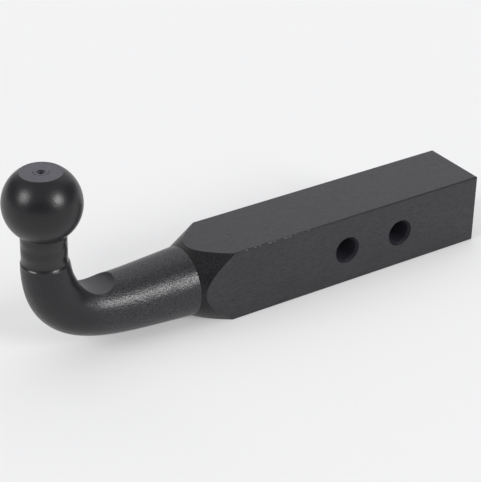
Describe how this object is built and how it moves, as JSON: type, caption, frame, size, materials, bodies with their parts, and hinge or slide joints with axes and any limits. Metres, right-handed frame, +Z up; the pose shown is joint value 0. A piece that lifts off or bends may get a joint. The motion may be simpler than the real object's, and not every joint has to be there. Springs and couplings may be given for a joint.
{
  "type": "ball mount",
  "caption": "Towing ball on a bent, tapering steel arm that grows through a conical shoulder into a square shank with cross pin holes, black coated.",
  "frame": {"origin": "centre of the front pin hole, on the shank's axis", "axes": "+X along the shank, away from the ball; +Y along the pin holes; +Z up to the ball"},
  "size_m": [0.353, 0.05, 0.1315],
  "materials": {
    "black_coat": "satin black coat over steel, brushed on the shank, blasted on the arm"
  },
  "bodies": {
    "root": {"ball_mount": "black_coat"}
  },
  "joints": []
}
